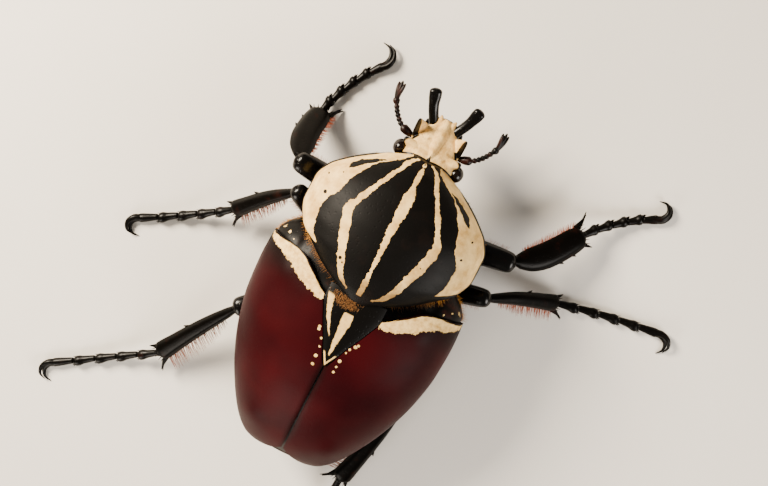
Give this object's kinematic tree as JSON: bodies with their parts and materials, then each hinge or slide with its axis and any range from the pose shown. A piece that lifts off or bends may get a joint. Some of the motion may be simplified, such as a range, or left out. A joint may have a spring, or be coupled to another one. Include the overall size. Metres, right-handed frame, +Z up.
{
  "type": "beetle model",
  "caption": "Life-size standing beetle with a broad striped thorax shield, domed wing cases, short blunt horns, fan-tipped feelers and long hooked legs.",
  "frame": {"origin": "on the floor under the middle of the beetle's bounding box", "axes": "+Z up, -Y the way the head points, +X the beetle's left side"},
  "size_m": [0.129, 0.1274, 0.0338],
  "materials": {
    "black_cuticle": "glossy black shell with brown edges",
    "cream_cuticle": "satin cream with broad black stripes",
    "maroon_cuticle": "velvety dark oxblood with a white bar at the shoulder",
    "eye_lens": "glossy black"
  },
  "bodies": {
    "root": {"head": "cream_cuticle", "mouthparts": "black_cuticle", "eye_left": "eye_lens", "eye_right": "eye_lens", "horn_left": "black_cuticle", "horn_right": "black_cuticle", "antenna_left": "black_cuticle", "antenna_right": "black_cuticle", "pronotum": "cream_cuticle", "thorax": "black_cuticle", "scutellum": "black_cuticle", "elytron_left": "maroon_cuticle", "elytron_right": "maroon_cuticle", "abdomen": "black_cuticle", "coxa_front_left": "black_cuticle", "femur_front_left": "black_cuticle", "tibia_front_left": "black_cuticle", "tarsus_front_left": "black_cuticle", "coxa_front_right": "black_cuticle", "femur_front_right": "black_cuticle", "tibia_front_right": "black_cuticle", "tarsus_front_right": "black_cuticle", "coxa_middle_left": "black_cuticle", "femur_middle_left": "black_cuticle", "tibia_middle_left": "black_cuticle", "tarsus_middle_left": "black_cuticle", "coxa_middle_right": "black_cuticle", "femur_middle_right": "black_cuticle", "tibia_middle_right": "black_cuticle", "tarsus_middle_right": "black_cuticle", "coxa_hind_left": "black_cuticle", "femur_hind_left": "black_cuticle", "tibia_hind_left": "black_cuticle", "tarsus_hind_left": "black_cuticle", "coxa_hind_right": "black_cuticle", "femur_hind_right": "black_cuticle", "tibia_hind_right": "black_cuticle", "tarsus_hind_right": "black_cuticle"}
  },
  "joints": []
}
